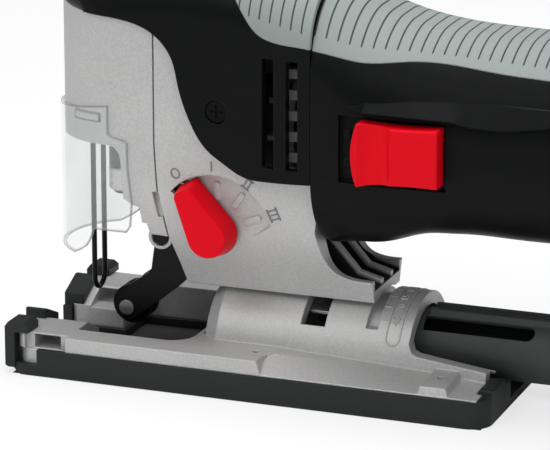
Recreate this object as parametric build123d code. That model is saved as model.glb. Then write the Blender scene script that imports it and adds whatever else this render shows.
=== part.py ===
from build123d import *
import math
import os

os.makedirs("parts", exist_ok=True)

# Frame: origin at the centre of the sole's bottom face, +X to the rear, +Y to the tool's right, +Z up.
# All lengths are in millimetres and all angles in degrees.

# Fits
running_gap = 0.05
seat_gap = 0.2
slide_gap = 0.4

# Sole, the plastic shoe under the base plate
sole_length = 160.0
sole_width = 74.4
sole_floor = 2.6
sole_wall = 2.0
sole_rim_z = 8.7
sole_corner = 7.0
hook_top_z = 17.0
hook_depth = 3.2
hook_reach = 8.0
hook_width = 8.6
hook_inner_width = 10.3
hook_inner_z = 12.7
hook_inner_reach = 6.8
rear_clip_width = 13.0
rear_clip_inset = 6.6
rear_clip_reach = 4.6
rear_clip_top_z = 10.8
rear_clip_edge = 0.6

# Base plate, a casting that the sole clips round
plate_top_z = 13.6
plate_front_end = 5.2
plate_step_foot = 1.6
deck_edge_z = 9.2
deck_mid_x = 57.0
deck_mid_z = 11.3
deck_rear_z = 9.7
ledge_half = 27.5
recess_corner = 3.5
prong_width = 27.0
prong_flat_width = 18.2
prong_edge_z = 9.2
prong_head_length = 21.0
strip_width = 10.2
blade_hole_end = -21.6
blade_hole_corner = 8.0
opening_lip = 1.5
fence_channel_width = 9.0
fence_channel_height = 4.4
fence_channel_z = 8.7
fence_channel_x = -66.3
fence_frame_depth = 2.6
fence_frame_grow = 2.6
pad_length = 7.7
pad_inner_y = 20.0
pad_inner_z = 12.7
pad_outer_z = 11.7
pad_x = 62.5
dimple_radius = 1.1
dimple_depth = 2.0
dimple_x = 2.0
dimple_y = 28.0

# Saddle, the half cylinder that the foot tilts on
bevel_axis_z = 8.1
saddle_radius = 21.7
saddle_wall = 4.1
saddle_front = -19.0
saddle_taper = 3.0
saddle_taper_length = 4.5
saddle_rear = 34.3
ring_front = 38.2
ring_rear = 49.2
skirt_front_z = 15.4
skirt_rear_z = 12.3
groove_depth = 2.2
groove_end_z = 21.6
arc_slot_x = 17.0
arc_slot_width = 8.0
bevel_limit = 45.0
clamp_screw_radius = 2.5

# Dust tube
tube_radius = 10.2
tube_wall = 1.6
tube_axis_z = 14.9
tube_front = 27.0
tube_rear = 140.0
port_radius = 9.2
port_length = 30.0
collar_front = 27.5
collar_length = 15.5
tube_slot_front = 50.0
tube_slot_length = 36.0
tube_slot_width = 5.3
tube_slot_angle = 48.0
tube_rib_height = 0.9

# Gear head casting: half widths of the section from the foot up
foot_half_width = 12.4
foot_bottom_z = 28.6
foot_slab_z = 35.7
slab_half_width = 14.7
knee_half_width = 18.8
knee_z = 46.0
flank_half_width = 21.6
flank_z = 58.0
head_half_width = 22.3
head_full_z = 70.0
head_ceiling_z = 126.0
foot_front = -27.0
foot_rear = 35.5
parting_x = -34.0
parting_low_x = -30.9
parting_low_z = 45.0
parting_gap = 0.5
head_rear_x = -8.0
head_rear_top_z = 112.0
casting_rear = 19.8
casting_rear_top_z = 72.0
casting_wall = 2.6
fin_thickness = 2.2
fin_offset = 4.6
fin_front = -6.0
fin_floor_z = 32.6
fin_channel_top_z = 60.0
fin_top_z = 47.8
fin_knee_x = 28.2
fin_knee_z = 36.4
fin_end_z = 34.4
nose_x = -72.0
opening_roof_z = 74.0

# Motor line and gear train, both along X
motor_axis_z = 84.0
gear_module = 0.8
pinion_teeth = 9
gear_teeth = 44
tooth_backlash = 0.3
gear_front = -31.5
gear_width = 7.5
gear_axle_radius = 4.0
wall_front = -23.4
wall_rear = -14.0
crank_radius = 11.0
crank_pin_radius = 2.5
crank_rest_angle = 61.3636
stroke_share = 0.87
yoke_front = -36.0
yoke_thickness = 3.0
yoke_slack = 0.7
yoke_rim = 2.2
yoke_room = 0.9
yoke_floor_z = 46.9

# Plunger
plunger_x = -53.0
plunger_radius = 4.5
plunger_top_z = 125.5
arm_centre_z = 100.5
arm_half_height = 2.5
bush_wall = 2.4
lower_bush_z = 74.0
lower_bush_length = 3.2
upper_bush_z = 104.0
upper_bush_length = 8.0
clamp_top_z = 69.0
clamp_length = 16.0
clamp_radius = 4.0
sleeve_radius = 5.7
sleeve_length = 7.8
blade_slot_width = 1.6

# Roller lever
pivot_x = -36.0
pivot_z = 42.9
pivot_radius = 1.8
ear_radius = 4.0
ear_recess_radius = 3.0
ear_recess_depth = 1.2
pivot_head_gap = 0.3
pivot_head_length = 0.7
ear_thickness = 4.2
axle_x = -50.0
axle_z = 16.4
axle_radius = 2.5
axle_half_length = 8.6
lever_half_width = 8.0
lever_plate = 3.6
lever_eye_radius = 4.2
lever_boss_radius = 2.9
roller_radius = 6.4
roller_groove = 0.9
roller_side_gap = 0.4
pocket_gap = 1.2
pocket_top_z = 42.0

# Wire guard and clear guard
wire_x = -62.8
wire_radius = 0.85
wire_spacing = 8.2
wire_bottom_z = 19.2
guard_gap = 0.3
guard_wall = 1.0
guard_top_z = 87.0
guard_front_z = 82.7
guard_low_z = 46.3
guard_lobe_z = 36.8
guard_rear_x = -41.4
guard_tab_rear_x = -49.4
guard_tab_low_z = 76.4
guard_bar_height = 2.6
guard_bar_length = 9.5

# Pendulum knob
knob_x = -14.5
knob_z = 48.75
knob_reach = 18.0
knob_hub_radius = 7.6
knob_tip_half_width = 4.0
knob_tip_corner = 1.8
knob_angle = 121.2
knob_height = 8.0
knob_taper = 9.0
knob_edge = 0.8
knob_room = 0.4
knob_shaft_radius = 3.0
fan_radius = 18.8
fan_depth = 1.4
fan_start = 11.5
fan_end = 139.5
detent_step = 33.1
detent_height = 0.7
detent_end = 16.2
detent_length = 6.1
detent_width = 1.9

# Shroud, handle and grip
shroud_step = 1.5
seam_x = 20.2
seam_gap = 0.3
handle_end = 205.0
grip_thickness = 1.6
shell_wall = 2.4
grip_end = 186.0
vent_width = 4.0
vent_front_x = 6.0
vent_pitch = 8.1
vent_low_z = 73.4
vent_height = 34.5
screw_x = -12.0
screw_z = 89.0
screw_head_radius = 3.6
screw_shank_radius = 1.7
screw_seat_y = 23.9
screw_head_height = 1.3
screw_cross_depth = 0.8

# Slide switch
switch_front = 35.8
switch_length = 27.6
switch_low_z = 73.0
switch_height = 19.6
switch_travel = 5.0
switch_side_gap = 0.8
switch_floor_gap = 1.0
switch_rise = 7.5
switch_bulge = 1.8
switch_waist = 0.6
switch_rear_lift = 1.5
switch_edge = 0.7
scoop_radius = 7.0
scoop_depth = 2.4
scoop_x = 7.5
recess_depth = 3.2
recess_tab_width = 3.0
recess_tab_length = 2.2
recess_tab_height = 0.7

# Motor
stator_radius = 25.0
stator_front = 44.0
stator_length = 46.0
armature_radius = 15.0
air_gap = 0.6
shaft_radius = 4.0
commutator_radius = 11.0
commutator_length = 13.0
commutator_x = 99.0
bearing_radius = 9.5
bearing_width = 6.5
rear_bearing_x = 118.0
fan_front = 3.0
fan_width = 9.0
impeller_radius = 21.5
impeller_blades = 11
brush_section = 6.0
brush_length = 10.0

# Inside the handle
rib_thickness = 3.0
brush_wall_x = 106.5
boss_radius = 5.4
handle_screw_seat = 20.0
handle_screw_spots = [(31.0, 57.0), (31.0, 105.0), (113.5, 62.0), (113.5, 101.5), (168.0, 66.0),
                      (168.0, 96.0)]
visor_inner_y = 29.3
stem_x = 43.0
stem_length = 8.0
stem_low_z = 80.0
stem_height = 8.0
stem_inner_y = 27.6
link_y = 23.4
link_thickness = 1.8
link_low_z = 95.5
link_height = 4.5
switch_module_x = 138.0
switch_module_length = 23.0
inlet_radius = 6.0
inlet_bore = 4.0
rear_vent_count = 5
rear_vent_x = 176.0
rear_vent_pitch = 4.0
rear_vent_width = 1.8

sole_front = -sole_length / 2
sole_rear = sole_length / 2
half_width = sole_width / 2
gear_pitch_radius = gear_module * gear_teeth / 2
pinion_pitch_radius = gear_module * pinion_teeth / 2
gear_axis_z = motor_axis_z - gear_pitch_radius - pinion_pitch_radius
plunger_rest_lift = stroke_share * crank_radius * math.radians(crank_rest_angle)
saddle_bore = saddle_radius - saddle_wall
seat_radius = saddle_radius + seat_gap + 0.1
handle_wall = grip_thickness + shell_wall
recess_floor_y = recess_depth - 32.4
throat_half = half_width - prong_width
clip_outer_y = half_width - rear_clip_inset
clip_inner_y = clip_outer_y - rear_clip_width
prong_flat_y = half_width - prong_flat_width
yoke_half = crank_radius + crank_pin_radius + yoke_rim + yoke_room
lever_pocket_half = lever_half_width + pocket_gap


def block(x0, x1, y0, y1, z0, z1):
    return Pos((x0 + x1) / 2, (y0 + y1) / 2, (z0 + z1) / 2) * Box(x1 - x0, y1 - y0, z1 - z0)


def rod_x(x0, x1, radius, z, y=0.0):
    return Pos((x0 + x1) / 2, y, z) * Rot(0, 90, 0) * Cylinder(radius, x1 - x0)


def rod_y(y0, y1, radius, x, z):
    return Pos(x, (y0 + y1) / 2, z) * Rot(90, 0, 0) * Cylinder(radius, y1 - y0)


def rod_z(z0, z1, radius, x, y=0.0):
    return Pos(x, y, (z0 + z1) / 2) * Cylinder(radius, z1 - z0)


def side_plane(y):
    return Plane(origin=(0, y, 0), x_dir=(1, 0, 0), z_dir=(0, -1, 0))


def cross_plane(x):
    return Plane(origin=(x, 0, 0), x_dir=(0, 1, 0), z_dir=(1, 0, 0))


def side_slab(points, y0, y1):
    outline = make_face(Polyline(*points, close=True))
    return extrude(side_plane(y1) * outline, amount=y1 - y0)


def plan_slab(points, z0, z1):
    outline = make_face(Polyline(*points, close=True))
    return extrude(Pos(0, 0, z0) * outline, amount=z1 - z0)


def cross_slab(points, x0, x1):
    outline = make_face(Polyline(*points, close=True))
    return extrude(cross_plane(x0) * outline, amount=x1 - x0)


def both_sides(shape):
    return shape + mirror(shape, about=Plane.XZ)


def two_solids(shape):
    return Compound(children=[shape, mirror(shape, about=Plane.XZ)])


def hull_loft(sections, inset=0.0):
    faces = []
    for x, half, low, high, corner in sections:
        plane = Plane(origin=(x, 0, (low + high) / 2), x_dir=(0, 1, 0), z_dir=(1, 0, 0))
        width = 2 * (half - inset)
        height = high - low - 2 * inset
        radius = min(max(corner - inset, 1.0), 0.49 * width, 0.49 * height)
        faces.append(plane * RectangleRounded(width, height, radius))
    return loft(faces)


# Sole
def opening_cut(inset, z0, z1):
    throat = half_width - prong_width - inset
    wide = half_width - strip_width - inset
    head_end = sole_front + prong_head_length + inset
    slot_end = blade_hole_end - inset
    mouth = block(sole_front - 1, head_end + 1, -throat, throat, z0, z1)
    hole = block(head_end, slot_end, -wide, wide, z0, z1)
    hole = fillet(hole.edges().filter_by(Axis.Z).group_by(Axis.X)[-1], blade_hole_corner)
    return mouth + hole


def make_sole():
    outline = Pos(0, 0, sole_rim_z / 2) * Box(sole_length, sole_width, sole_rim_z)
    outline = fillet(outline.edges().filter_by(Axis.Z), sole_corner)
    tray = Pos(0, 0, sole_floor + sole_rim_z) * Box(
        sole_length - 2 * hook_depth, sole_width - 2 * sole_wall, 2 * sole_rim_z)
    tray = fillet(tray.edges().filter_by(Axis.Z), sole_corner - sole_wall)
    tip = side_slab([(sole_front - 1, -1), (sole_front + 6, -1), (sole_front + 5, 0), (sole_front - 1, 3.0)],
                    -sole_width, sole_width)
    shoe = outline - tray - opening_cut(opening_lip, -1, hook_top_z)
    corner_gap = block(sole_front + hook_depth, sole_front + 11, half_width - 2 * sole_wall, half_width + 1,
                       3.6, hook_top_z)
    shoe -= both_sides(corner_gap)
    y0, y1 = half_width - hook_width, half_width - 0.2
    post = block(sole_front, sole_front + hook_depth, y0, y1, sole_floor - 0.6, hook_top_z - 1.6)
    tongue_end = sole_front + hook_reach
    tongue = side_slab([(sole_front, plate_top_z + 0.1), (tongue_end, plate_top_z + 0.1),
                        (tongue_end, hook_top_z - 1.2), (tongue_end - 1.6, hook_top_z),
                        (sole_front + 1.2, hook_top_z), (sole_front, hook_top_z - 1.6)], y0, y1)
    shoe += both_sides(post + tongue)
    inner_end = throat_half + hook_inner_width
    inner_top = hook_top_z - 0.4
    post = cross_slab([(throat_half, sole_floor - 0.6), (inner_end, sole_floor - 0.6), (inner_end, inner_top),
                       (prong_flat_y, inner_top), (throat_half, hook_inner_z)],
                      sole_front, sole_front + hook_depth)
    tongue = cross_slab([(throat_half, prong_edge_z + 0.1), (prong_flat_y, plate_top_z + 0.1),
                         (inner_end, plate_top_z + 0.1), (inner_end, inner_top), (prong_flat_y, inner_top),
                         (throat_half, hook_inner_z)], sole_front, sole_front + hook_inner_reach)
    shoe += both_sides(post + tongue)
    clip = block(sole_rear - hook_depth, sole_rear, clip_inner_y, clip_outer_y, sole_floor, rear_clip_top_z)
    clip += block(sole_rear - rear_clip_reach, sole_rear, clip_inner_y, clip_outer_y, sole_rim_z + 0.3,
                  rear_clip_top_z)
    shoe += both_sides(fillet(clip.edges().group_by(Axis.Z)[-1], rear_clip_edge))
    tube_way = tube_radius + 1.0 + slide_gap
    shoe -= block(sole_rear - hook_depth - 1, sole_rear + 1, -tube_way, tube_way, sole_floor, rear_clip_top_z)
    return shoe - tip


# Base plate
def deck_section(x, outer, crest_y, crest_z):
    points = [(-outer, sole_rim_z + 0.1), (outer, sole_rim_z + 0.1), (outer, deck_edge_z), (crest_y, crest_z),
              (-crest_y, crest_z), (-outer, deck_edge_z)]
    return cross_plane(x) * make_face(Polyline(points, close=True))


def make_base_plate():
    front = sole_front + hook_depth + 0.1
    rear = sole_rear - hook_depth - 0.1
    inner = half_width - sole_wall - 0.1
    outer = half_width - 0.4
    low = block(front, rear, -inner, inner, sole_floor, sole_rim_z + 0.1)
    low = fillet(low.edges().filter_by(Axis.Z), sole_corner - sole_wall)
    table = block(front, plate_front_end, -outer, outer, sole_rim_z + 0.1, plate_top_z)
    table = fillet(table.edges().filter_by(Axis.Z).group_by(Axis.X)[0], sole_corner - sole_wall)
    deck = loft([deck_section(plate_front_end, outer, ledge_half, plate_top_z),
                 deck_section(deck_mid_x, outer, saddle_radius, deck_mid_z),
                 deck_section(rear, outer, saddle_radius, deck_rear_z)], ruled=True)
    ramp = side_slab([(plate_front_end, sole_rim_z + 0.1), (plate_front_end + plate_step_foot, sole_rim_z + 0.1),
                      (plate_front_end, plate_top_z)], -outer, outer)
    corner = recess_corner
    ramp += both_sides(plan_slab([(plate_front_end, ledge_half), (plate_front_end, ledge_half + 1.2 * corner),
                                  (plate_front_end + 0.3 * corner, ledge_half + 0.5 * corner),
                                  (plate_front_end + 0.8 * corner, ledge_half + 0.1 * corner),
                                  (plate_front_end + 1.2 * corner, ledge_half)], sole_rim_z, plate_top_z))
    pad_outer_y = outer - 0.6
    pad = side_slab([(pad_x - pad_length / 2 - 1, sole_rim_z), (pad_x + pad_length / 2 + 1.2, sole_rim_z),
                     (pad_x + pad_length / 2, pad_inner_z), (pad_x - pad_length / 2, pad_inner_z)],
                    pad_inner_y, pad_outer_y)
    pad &= cross_slab([(pad_inner_y, sole_rim_z), (pad_outer_y, sole_rim_z), (pad_outer_y, pad_outer_z),
                       (pad_inner_y, pad_inner_z)], deck_mid_x, rear)
    plate = low + table + deck + ramp + both_sides(pad)
    taper_end = saddle_front + saddle_taper_length
    nose = Pos((saddle_front + taper_end) / 2, 0, bevel_axis_z) * Rot(0, 90, 0) * Cone(
        saddle_radius - saddle_taper, saddle_radius, saddle_taper_length)
    plate += nose + rod_x(taper_end, saddle_rear, saddle_radius, bevel_axis_z)
    plate += rod_x(saddle_rear - 1, ring_front + 1, saddle_radius - groove_depth, bevel_axis_z)
    below_groove = block(saddle_rear - 1, ring_front + 1, -sole_width, sole_width, 0, groove_end_z)
    plate += rod_x(saddle_rear - 1, ring_front + 1, saddle_radius, bevel_axis_z) & below_groove
    plate += rod_x(ring_front, rear, saddle_radius, bevel_axis_z)
    plate -= side_slab([(ring_rear, skirt_front_z + 3), (ring_rear + 1.2, skirt_front_z + 0.8),
                        (ring_rear + 3, skirt_front_z), (sole_rear, skirt_rear_z), (sole_rear, 2 * saddle_radius),
                        (ring_rear, 2 * saddle_radius)], -sole_width, sole_width)
    plate -= block(sole_front - 1, sole_rear + 1, -sole_width, sole_width, -saddle_radius, sole_floor)
    plate -= opening_cut(0.0, -1, plate_top_z + 1)
    slope = cross_slab([(throat_half - 1, prong_edge_z), (throat_half, prong_edge_z),
                        (prong_flat_y, plate_top_z), (prong_flat_y, plate_top_z + 1),
                        (throat_half - 1, plate_top_z + 1)],
                       sole_front, sole_front + prong_head_length + 0.5)
    plate -= both_sides(slope)
    plate -= rod_x(saddle_front - 1, sole_rear + 1, saddle_bore, bevel_axis_z)
    plate -= both_sides(block(sole_rear - rear_clip_reach - slide_gap, sole_rear, clip_inner_y - slide_gap,
                              clip_outer_y + slide_gap, sole_rim_z + 0.2, plate_top_z))
    slot_angle = 90 - bevel_limit - math.degrees(math.asin((clamp_screw_radius + 0.3) / saddle_bore))
    reach_y = 2 * saddle_radius * math.cos(math.radians(slot_angle))
    reach_z = bevel_axis_z + 2 * saddle_radius * math.sin(math.radians(slot_angle))
    plate -= cross_slab([(0, bevel_axis_z), (reach_y, reach_z), (-reach_y, reach_z)],
                        arc_slot_x - arc_slot_width / 2, arc_slot_x + arc_slot_width / 2)
    collar_end = collar_front + collar_length
    collar = rod_x(collar_front, collar_end, saddle_bore + 0.5, bevel_axis_z)
    collar -= block(sole_front, sole_rear, -sole_width, sole_width, -saddle_radius, sole_floor)
    collar -= rod_x(collar_front - 1, collar_end + 1, tube_radius + running_gap, tube_axis_z)
    plate += collar
    channel = block(fence_channel_x - fence_channel_width / 2, fence_channel_x + fence_channel_width / 2,
                    -sole_width, sole_width, fence_channel_z, fence_channel_z + fence_channel_height)
    frame_half = fence_channel_width / 2 + fence_frame_grow
    pocket = block(fence_channel_x - frame_half, fence_channel_x + frame_half,
                   outer - fence_frame_depth, outer + 1, fence_channel_z - 0.4, plate_top_z + 1)
    plate -= channel + both_sides(pocket)
    for x, z in ((dimple_x, plate_top_z), (pad_x, pad_inner_z)):
        plate -= both_sides(rod_z(z - dimple_depth, z + 1, dimple_radius, x, dimple_y))
    return plate


def make_dust_tube():
    tube = rod_x(tube_front, tube_rear, tube_radius, tube_axis_z)
    rib_front = ring_rear + 2
    for y in (-3.4, 3.4):
        tube += block(rib_front, tube_rear - port_length, y - 0.7, y + 0.7, tube_axis_z,
                      tube_axis_z + tube_radius + tube_rib_height)
    rim = rod_x(tube_rear - port_length, tube_rear, tube_radius + 1.0, tube_axis_z)
    tube += rim
    tube -= rod_x(tube_front - 1, tube_rear + 1, tube_radius - tube_wall, tube_axis_z)
    tube -= rod_x(tube_rear - port_length, tube_rear + 1, port_radius, tube_axis_z)
    slot = block(tube_slot_front, tube_slot_front + tube_slot_length, -tube_radius - 1,
                 tube_wall + 2 - tube_radius, -tube_slot_width / 2, tube_slot_width / 2)
    slot = fillet(slot.edges().filter_by(Axis.Y).group_by(Axis.X)[-1], 0.48 * tube_slot_width)
    return tube - Pos(0, 0, tube_axis_z) * Rot(-tube_slot_angle, 0, 0) * slot


# Gear head
def head_section(x0, x1):
    right = [(foot_half_width, foot_bottom_z), (slab_half_width, foot_slab_z), (knee_half_width, knee_z),
             (flank_half_width, flank_z), (head_half_width, head_full_z)]
    left = [(-y, z) for y, z in right]
    edges = [Spline(*right), Line(right[-1], (head_half_width, head_ceiling_z)),
             Line((head_half_width, head_ceiling_z), (-head_half_width, head_ceiling_z)),
             Line((-head_half_width, head_ceiling_z), left[-1]), Spline(*reversed(left)),
             Line(left[0], right[0])]
    return extrude(cross_plane(x0) * make_face(edges), amount=x1 - x0)


def nose_plan(grow, z0, z1, rear):
    reach = head_half_width + grow
    centre = nose_x + head_half_width
    edges = [ThreePointArc((centre, reach), (centre - reach, 0), (centre, -reach)),
             Line((centre, -reach), (rear, -reach)), Line((rear, -reach), (rear, reach)),
             Line((rear, reach), (centre, reach))]
    return extrude(Pos(0, 0, z0) * make_face(edges), amount=z1 - z0)


# The line where the cover meets the housing, from the top down
parting_line = [(parting_x, 76.0), (parting_x + 0.5, 68.0), (parting_x + 0.9, 60.6), (parting_x + 2.3, 52.4),
                (parting_low_x, parting_low_z)]
# The lower edge of the black shroud, from the nose to the seam
shroud_edge = [(nose_x - 6, 124.0), (-45.0, 115.2), (parting_x, 111.7), (-27.3, 104.3), (-25.0, 95.6),
               (-21.7, 86.3), (-14.8, 76.2), (-8.7, 72.4), (-5.1, 70.4), (-1.6, 69.2), (5.6, 68.9),
               (12.7, 69.2), (seam_x, 69.7)]


def make_gear_housing():
    curve_top = (casting_rear - 1.2, 52.0)
    rear_curve = Spline(curve_top, (19.5, 46.4), (20.6, 42.7), (22.6, 39.2), (25.7, 36.9), (29.0, 36.0),
                        (foot_rear, foot_slab_z), tangents=((0, -1), (1, 0)))
    points = [(foot_rear, foot_slab_z), (foot_rear, foot_bottom_z), (foot_front, foot_bottom_z)]
    points += list(reversed(parting_line))
    points += [(parting_x, head_rear_top_z), (head_rear_x, head_rear_top_z),
               (head_rear_x, casting_rear_top_z), (casting_rear, casting_rear_top_z), (casting_rear, 58.0),
               curve_top]
    outline = make_face([rear_curve, Polyline(*points)])
    slab = extrude(side_plane(sole_width) * outline, amount=2 * sole_width)
    casting = head_section(parting_x - 1, foot_rear + 1) & slab
    casting -= rod_x(foot_front - 10, foot_rear + 1, seat_radius, bevel_axis_z)
    inside = head_half_width - casting_wall
    casting -= block(parting_x - 1, wall_front, -inside, inside, motor_axis_z - 8, upper_bush_z)
    casting -= rod_x(parting_x - 1, wall_front, gear_pitch_radius + 2 * gear_module + 0.4, gear_axis_z)
    casting -= block(parting_x - 1, gear_front + 0.4, -yoke_half, yoke_half, yoke_floor_z, upper_bush_z)
    casting -= rod_x(wall_front - 1, wall_rear + 1, bearing_radius - 3, motor_axis_z)
    casting -= rod_x(wall_front + 1.2, wall_rear + 1, bearing_radius, motor_axis_z)
    casting -= rod_x(wall_front - 1, wall_rear, gear_axle_radius, gear_axis_z)
    casting -= rod_x(wall_rear, casting_rear + 1, inside, motor_axis_z)
    casting -= block(wall_rear, casting_rear + 1, -inside, inside, motor_axis_z, head_rear_top_z + 1)
    casting -= rod_x(fan_front - 3, casting_rear + 1, impeller_radius + 1.5, motor_axis_z)
    rim_inner = slab_half_width - casting_wall
    casting -= block(fin_front, foot_rear + 1, -rim_inner, rim_inner, fin_floor_z, fin_channel_top_z)
    fin_root_z = fin_floor_z - 0.5
    fin_head_z = fin_channel_top_z + 0.5
    fin_half = fin_thickness / 2
    fin_top_x = casting_rear - 1.8
    fin = side_slab([(fin_front - 1, fin_root_z), (foot_rear, fin_root_z), (foot_rear, fin_end_z),
                     (fin_knee_x, fin_knee_z), (fin_top_x, fin_top_z), (fin_top_x, fin_head_z),
                     (fin_front - 1, fin_head_z)], fin_offset - fin_half, fin_offset + fin_half)
    casting += both_sides(fin)
    casting -= block(parting_x - 1, foot_front + 5, -lever_pocket_half, lever_pocket_half, 20, pocket_top_z)
    outside_y = -head_half_width - 6
    casting -= Pos(knob_x, 0, knob_z) * fan_sector(outside_y, fan_floor_y)
    casting -= rod_y(outside_y, fan_floor_y, knob_hub_radius + knob_room, knob_x, knob_z)
    casting -= extrude(knob_outline(knob_room, knob_inner_y + knob_room), amount=10)
    casting -= rod_y(outside_y, -8, knob_shaft_radius + running_gap, knob_x, knob_z)
    bar = Pos(detent_end - detent_length / 2, 0) * SlotOverall(detent_length, detent_width)
    for step in (1, 2, 3):
        turned = Pos(knob_x, knob_z) * Rot(0, 0, knob_angle - step * detent_step) * bar
        casting += extrude(side_plane(fan_floor_y + 1) * turned, amount=1 + detent_height)
    casting -= rod_z(foot_bottom_z - 1, foot_slab_z + 4, 2.5, arc_slot_x)
    casting -= both_sides(rod_y(13.5, head_half_width + 1, screw_shank_radius, screw_x, screw_z))
    handle_room = hull_loft(handle_sections, -seat_gap)
    return casting - handle_room


def flank_at(z):
    share = (z - knee_z) / (flank_z - knee_z)
    return knee_half_width + share * (flank_half_width - knee_half_width)


fan_floor_y = fan_depth - flank_at(knob_z + 6)
knob_inner_y = fan_floor_y - detent_height - 0.6


def polar(radius, angle):
    return (radius * math.cos(math.radians(angle)), radius * math.sin(math.radians(angle)))


# The fan-shaped recess: an arc round the knob's hub, closed by a line that touches the hub from below
def fan_sector(y0, y1):
    start, end = polar(fan_radius, fan_start), polar(fan_radius, fan_end)
    touch = polar(knob_hub_radius, fan_start - math.degrees(math.acos(knob_hub_radius / fan_radius)))
    arc = ThreePointArc(start, polar(fan_radius, (fan_start + fan_end) / 2), end)
    outline = make_face([arc, Line(end, (0, 0)), Line((0, 0), touch), Line(touch, start)])
    return extrude(side_plane(y1) * outline, amount=y1 - y0)


def make_gear_cover():
    ceiling = head_ceiling_z - 1
    points = [(nose_x - 4, ceiling), (parting_x - parting_gap, ceiling)]
    points += [(x - parting_gap, z) for x, z in parting_line]
    points += [(-37.2, 45.2), (-38.0, 49.0), (-39.5, 49.1), (-39.9, 54.3), (-42.3, 55.1), (-45.1, 56.7),
               (-45.6, 68.9), (-46.2, 71.7), (-47.9, opening_roof_z - 0.4), (-50.5, opening_roof_z),
               (nose_x - 4, opening_roof_z)]
    cover = head_section(nose_x - 1, parting_low_x + 1) & side_slab(points, -sole_width, sole_width)
    cover &= nose_plan(0.0, 0, head_ceiling_z, parting_low_x + 1)
    cover -= spline_region([(x, z - seat_gap) for x, z in shroud_edge], head_ceiling_z + 20)
    ear_end = lever_pocket_half + ear_thickness
    ears = rod_y(lever_pocket_half, ear_end, ear_radius, pivot_x, pivot_z)
    ears += block(pivot_x - 2.5, pivot_x + ear_radius - 1, lever_pocket_half, ear_end, pivot_z, 50)
    cover += both_sides(ears)
    cover -= both_sides(rod_y(ear_end - ear_recess_depth, ear_end, ear_recess_radius, pivot_x, pivot_z))
    cover -= block(pivot_x - 8, parting_low_x + 1, -lever_pocket_half, lever_pocket_half, 20,
                   pivot_z + lever_boss_radius + seat_gap)
    cover -= block(yoke_front - 1, parting_low_x + 1, -yoke_half, yoke_half, yoke_floor_z, upper_bush_z)
    cover -= rod_x(gear_front - 0.6, parting_low_x + 1, gear_pitch_radius + 2 * gear_module, gear_axis_z)
    bush_radius = plunger_radius + bush_wall
    lower_bush_end = lower_bush_z + lower_bush_length
    cover -= block(plunger_x - plunger_radius - 3, yoke_front, -8, 8, lower_bush_end, upper_bush_z)
    cover -= rod_z(lower_bush_z - 4, lower_bush_end + 1, bush_radius, plunger_x)
    cover -= rod_z(upper_bush_z - 1, upper_bush_z + upper_bush_length, bush_radius, plunger_x)
    cover -= rod_z(upper_bush_z, head_ceiling_z, plunger_radius + 0.5, plunger_x)
    cover -= rod_y(-sole_width, sole_width, pivot_radius, pivot_x, pivot_z)
    notch = side_slab([(-35.1, 60.2), (parting_low_x, 60.2), (parting_low_x, 51.8), (-33.7, 51.8)], 19.5, 30)
    cover -= both_sides(notch)
    for y in (-wire_spacing / 2, wire_spacing / 2):
        cover -= rod_z(opening_roof_z - 4, opening_roof_z + 6, wire_radius, wire_x, y)
    return cover


def make_wire_guard():
    bend = wire_spacing / 2
    low = wire_bottom_z + wire_radius + bend
    half_ring = Pos(wire_x, 0, low) * Rot(0, 90, 0) * Torus(bend, wire_radius)
    half_ring -= block(wire_x - 5, wire_x + 5, -20, 20, low, low + 20)
    legs = rod_z(low, opening_roof_z + 6, wire_radius, wire_x, bend)
    return half_ring + both_sides(legs)


def make_clear_guard():
    outer = nose_plan(guard_gap + guard_wall, guard_lobe_z, guard_top_z, guard_rear_x + 1)
    inner = nose_plan(guard_gap, guard_lobe_z - 1, guard_top_z + 1, guard_rear_x + 2)
    outline = [(nose_x - 6, guard_lobe_z), (-63.0, guard_lobe_z), (-60.0, 38.4), (-57.8, 40.0), (-56.5, 41.8),
               (-55.4, 44.3), (-54.6, guard_low_z), (guard_rear_x - 2.0, guard_low_z),
               (guard_rear_x - 0.6, guard_low_z + 2), (guard_rear_x, 55.7), (guard_rear_x - 1.4, 67.6),
               (guard_rear_x - 1.5, guard_tab_low_z - 1.1), (guard_rear_x - 3.0, guard_tab_low_z - 0.2),
               (guard_tab_rear_x + 1.6, guard_tab_low_z + 0.5), (guard_tab_rear_x, guard_tab_low_z + 1.6),
               (guard_tab_rear_x, guard_top_z), (nose_x - 6, guard_front_z)]
    shell = (outer - inner) & side_slab(outline, -sole_width, sole_width)
    high = guard_top_z - guard_bar_height
    low = high - guard_bar_height
    bar = nose_plan(guard_gap + guard_wall + 0.8, low, high, guard_rear_x)
    bar -= nose_plan(guard_gap + guard_wall / 2, low - 1, high + 1, guard_rear_x + 1)
    bar_rear = guard_tab_rear_x - 2.5
    bar &= block(bar_rear - guard_bar_length, bar_rear, -60, 60, low, high)
    return shell + bar


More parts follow.
